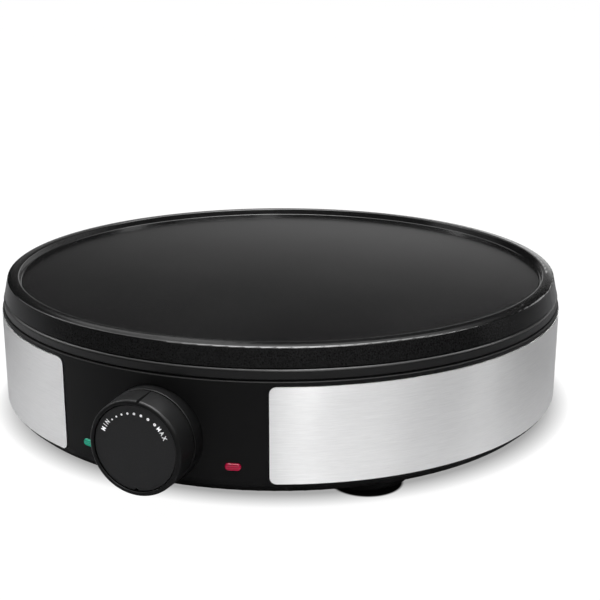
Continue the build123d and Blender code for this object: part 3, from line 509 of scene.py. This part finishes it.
def turned(name, outline):
    """A closed piece turned about the axis of the body, smooth but for its sharp corners."""
    count = len(outline)
    places, faces = [], []
    for turn in range(TURN_SEGMENTS):
        angle = math.tau * turn / TURN_SEGMENTS
        near, far = turn * count, (turn + 1) % TURN_SEGMENTS * count
        for index, (radius, height) in enumerate(outline):
            after = (index + 1) % count
            places.append((radius * math.cos(angle), AXIS_Y + radius * math.sin(angle), height))
            faces.append((near + index, far + index, far + after, near + after))
    mesh = bpy.data.meshes.new(name)
    mesh.from_pydata(places, [], faces)
    mesh.shade_smooth()
    mesh.set_sharp_from_angle(angle=math.radians(SHARP_DEG))
    piece = placed(name, mesh)
    weigh = piece.modifiers.new("flats_stay_flat", "WEIGHTED_NORMAL")
    weigh.keep_sharp = True
    return piece


def smooth_trim_ring(material):
    """The frame's trim ring again: a land that carries the plate, and a lip over a seam."""
    low, high, _ = span("plate_trim_ring")
    bore_r, neck_r, lip_foot_z = high.x - RING_LAND_W, high.x - SEAM_IN, low.z + SEAM_H
    outline = [
        (bore_r, low.z),
        (neck_r, low.z),
        (neck_r, lip_foot_z),
        (high.x, lip_foot_z),
        (high.x, high.z),
        (bore_r, high.z),
    ]
    ring = turned("trim_ring_smooth", rounded(outline, {3: LIP_FOOT_ROUND, 4: LIP_ROUND}))
    dress(ring, material)
    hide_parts("plate_trim_ring")
    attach(ring, "base")


# ---- Camera ----
CAMERA_AZIMUTH_DEG = 22.3
CAMERA_ELEVATION_DEG = 14.35
CAMERA_DISTANCE = 0.697
CAMERA_TARGET_Z = 85.3 * MM
CAMERA_PITCH_DEG = -1.85
CAMERA_YAW_DEG = 0.90
CAMERA_ROLL_DEG = 0.13
CAMERA_NEAR = 0.01
FOCAL_PX = 1171.0
IMAGE_PX = 600.0
SENSOR_MM = 36.0


def add_camera():
    """The camera of the photograph: it stands off the middle of the rim, then looks a little aside."""
    elevation = math.radians(CAMERA_ELEVATION_DEG)
    pitch = math.radians(CAMERA_PITCH_DEG)
    yaw = math.radians(CAMERA_YAW_DEG)
    roll = math.radians(CAMERA_ROLL_DEG)
    away = Vector((0, -math.cos(elevation), math.sin(elevation))) * CAMERA_DISTANCE
    forward = -away.normalized()
    right = Vector((1, 0, 0))
    up = right.cross(forward)
    level = math.cos(pitch)
    look = forward * math.cos(yaw) * level + right * math.sin(yaw) * level + up * math.sin(pitch)
    look.normalize()
    side = look.cross(Vector((0, 0, 1))).normalized()
    top = side.cross(look)
    side_rolled = side * math.cos(roll) + top * math.sin(roll)
    top_rolled = top * math.cos(roll) - side * math.sin(roll)
    stand = Matrix((side_rolled, top_rolled, -look)).transposed().to_4x4()
    stand.translation = away
    turn = Matrix.Rotation(math.radians(CAMERA_AZIMUTH_DEG), 4, "Z")
    camera = placed("camera", bpy.data.cameras.new("camera"))
    camera.data.sensor_width = SENSOR_MM
    camera.data.lens = FOCAL_PX / IMAGE_PX * SENSOR_MM
    camera.data.clip_start = CAMERA_NEAR
    camera.matrix_world = Matrix.Translation((0, AXIS_Y, CAMERA_TARGET_Z)) @ turn @ stand
    bpy.context.scene.camera = camera


# ---- World ----
WORLD_FILL = 0.01  # strength of the dark studio round the piece
WORLD_FRONT = 0.20  # what the side of the camera adds to it
WORLD_GLOW = 1.6  # strength of the pale backdrop behind the piece
WORLD_GLOW_Z = (0.165, 0.245)  # sines of the heights between which the backdrop fades out
WORLD_GLOW_TURN_DEG = 40.0  # the backdrop's middle, to the right of where the camera looks
WORLD_GLOW_SPREAD = (0.5, 1.0)  # cosines of the angles from its middle between which it fades in
SKY_GLOSS = 8.0  # a soft light overhead that shows in the highlights alone, brightest straight above
SKY_FROM_Z = 0.45  # sine of the height at which it begins
SKY_POWER = 2.0


def add_world():
    """White to the camera; to the piece a dim studio with a pale backdrop, low down behind it."""
    world = bpy.data.worlds.new("studio")
    world.use_nodes = True
    bpy.context.scene.world = world
    nodes = Nodes(world.node_tree)
    direction = nodes.node("ShaderNodeTexCoord").outputs["Generated"]
    height = nodes.split(direction)["Z"]
    rays = nodes.node("ShaderNodeLightPath").outputs

    def towards(turn_deg):
        """How far a direction agrees with one that lies this far to the right of the camera's look."""
        turn = math.radians(CAMERA_AZIMUTH_DEG - turn_deg)
        return nodes.vector_maths("DOT_PRODUCT", direction, (-math.sin(turn), math.cos(turn), 0))

    back = nodes.ranged(towards(WORLD_GLOW_TURN_DEG), *WORLD_GLOW_SPREAD, 0.0, 1.0)
    glow = nodes.ranged(height, *WORLD_GLOW_Z, WORLD_GLOW, 0.0)
    front = nodes.ranged(towards(180), 0.0, 1.0, WORLD_FILL, WORLD_FILL + WORLD_FRONT)
    studio = nodes.maths("ADD", nodes.maths("MULTIPLY", back, glow), front)
    steep = nodes.maths("POWER", nodes.ranged(height, SKY_FROM_Z, 1.0, 0.0, 1.0), SKY_POWER)
    sky = nodes.maths("MULTIPLY", nodes.maths("MULTIPLY", steep, SKY_GLOSS), rays["Is Glossy Ray"])
    strength = nodes.ranged(rays["Is Camera Ray"], 0.0, 1.0, nodes.maths("ADD", studio, sky), 1.0)
    background = nodes.tree.nodes["Background"]
    background.inputs["Color"].default_value = (1, 1, 1, 1)
    nodes.link(strength, background.inputs["Strength"])


# ---- Floor ----
FLOOR_HALF = 6.0
FLOOR_FRONT, FLOOR_BACK = 0.70, 0.33  # what the piece sees of the floor, in front of it and behind; darker behind as painted shade, which the steel reflects
FLOOR_FADE_Y = (-0.22, 0.10)
FLOOR_SEEN = 0.05  # what the camera sees of it, to which a glow adds that is weak under the piece, a painted shadow
# Glow of the floor to the camera, from the painted shadow under the piece up to white.
FLOOR_GLOW = (0.38, 1.0)
FLOOR_PAINTED_SHADOW_REACH = (0.162, 0.178)  # from the middle of the painted shadow, out to where the floor is white
FLOOR_PAINTED_SHADOW_SHIFT = (-0.0083, 0.024)  # axis of the body to the middle of its painted shadow
# Painted contact shadows round the two front feet: how far beyond a foot they fade, and the shift of
# their middle.
FOOT_PAINTED_SHADOW_OUT = (0.002, 0.0034)  # beyond a foot's own edge
FOOT_PAINTED_SHADOW_SHIFT = (0.003, -0.001)


def floor_paint():
    """A pale floor that is lighter in front of the piece, and white to the camera round it but for a
    painted shadow under the body and round the front feet.
    """
    paint = Paint("floor", roughness=0.9, specular=0.0)
    # Painted shade: the floor that the piece sees and reflects grows darker from front to back.
    share = paint.ranged(paint.split(paint.place)["Y"], *FLOOR_FADE_Y, 0.0, 1.0)
    seen = paint.node("ShaderNodeLightPath").outputs["Is Camera Ray"]
    lit = paint.mixed(share, grey(FLOOR_FRONT), grey(FLOOR_BACK))
    paint.colour(paint.mixed(seen, lit, grey(FLOOR_SEEN)))
    # Painted shadow: the camera's white glow fades out towards a circle a little behind the body's
    # axis.
    painted_shadow_middle = (FLOOR_PAINTED_SHADOW_SHIFT[0], AXIS_Y + FLOOR_PAINTED_SHADOW_SHIFT[1], 0)
    glow = paint.ranged(
        paint.vector_maths("DISTANCE", paint.place, painted_shadow_middle), *FLOOR_PAINTED_SHADOW_REACH, *FLOOR_GLOW
    )
    # Painted contact shadow round each front foot, where the glow fades out too.
    for foot in ("foot_front_left", "foot_front_right"):
        low, high, middle = span(foot)
        painted_shadow_middle = (middle.x + FOOT_PAINTED_SHADOW_SHIFT[0], middle.y + FOOT_PAINTED_SHADOW_SHIFT[1], 0)
        start, end = ((high.x - low.x) / 2 + out for out in FOOT_PAINTED_SHADOW_OUT)
        near = paint.vector_maths("DISTANCE", paint.place, painted_shadow_middle)
        glow = paint.maths("MULTIPLY", glow, paint.ranged(near, start, end, 0.0, 1.0))
    paint.constants({"Emission Color": (1, 1, 1, 1)})
    paint.link(paint.maths("MULTIPLY", glow, seen), paint.shader.inputs["Emission Strength"])
    return paint.material


def add_floor():
    mesh = bpy.data.meshes.new("floor")
    half = FLOOR_HALF
    corners = [(-half, -half, 0), (half, -half, 0), (half, half, 0), (-half, half, 0)]
    mesh.from_pydata(corners, [], [(0, 1, 2, 3)])
    floor = placed("floor", mesh)
    dress(floor, floor_paint())


# ---- Lights ----
# Name, size, watts, place, target, and whether it shows in the highlights alone.
LIGHTS = (
    ("top", (0.8, 0.8), 19, (0.05, 0.0, 1.3), (0.05, 0, 0), False),
    ("left", (1.0, 1.0), 4, (-1.0, -0.15, 0.6), (0, 0, 0.05), True),
    ("edge", (0.5, 1.1), 15, (0.22, 0.30, 1.25), (0.12, 0.15, 0.08), True),
    ("back", (0.45, 0.2), 0.3, (-0.648, 0.851, 0.76), (-0.1, -0.05, 0.086), True),
    ("front", (0.5, 0.5), 12, (0.446, -0.322, 1.35), (0, 0, 0.08), True),
)
# Tall soft boxes round the body's axis, each of which stands as a band in the brushed steel: name,
# degrees to the camera's right, width, watts.
STRIPS = (
    ("strip_near", 8, 0.25, 6.0),
    ("strip_middle", 38, 0.8, 5.0),
    ("strip_side", 87, 0.32, 9.0),
    ("strip_left", -105, 0.15, 4.5),
)
STRIP_REACH, STRIP_Z, STRIP_H = 1.2, 0.9, 0.75
STRIP_TARGET_Z = 0.05


def add_light(name, size, power, place, target, glossy_only):
    """A soft box. One that is glossy_only shows in the highlights and lights nothing else."""
    data = bpy.data.lights.new(name, "AREA")
    data.shape = "RECTANGLE"
    data.size, data.size_y = size
    data.energy = power
    light = placed(name, data)
    light.location = place
    light.visible_diffuse = not glossy_only
    light.rotation_euler = (Vector(target) - Vector(place)).to_track_quat("-Z", "Y").to_euler()


def add_lights():
    for row in LIGHTS:
        add_light(*row)
    for name, turn_deg, width, power in STRIPS:
        turn = math.radians(CAMERA_AZIMUTH_DEG + turn_deg)
        place = (STRIP_REACH * math.sin(turn), AXIS_Y - STRIP_REACH * math.cos(turn), STRIP_Z)
        add_light(name, (width, STRIP_H), power, place, (0, AXIS_Y, STRIP_TARGET_Z), True)


materials = slot_materials()
dress_frame(materials)
ink = printed_ink()
for word in WORDS:
    print_word(*word, ink)
print_dots(ink)
smooth_trim_ring(materials["trim_ring"])

add_camera()
add_world()
add_floor()
add_lights()
bpy.context.scene.view_settings.view_transform = "Standard"
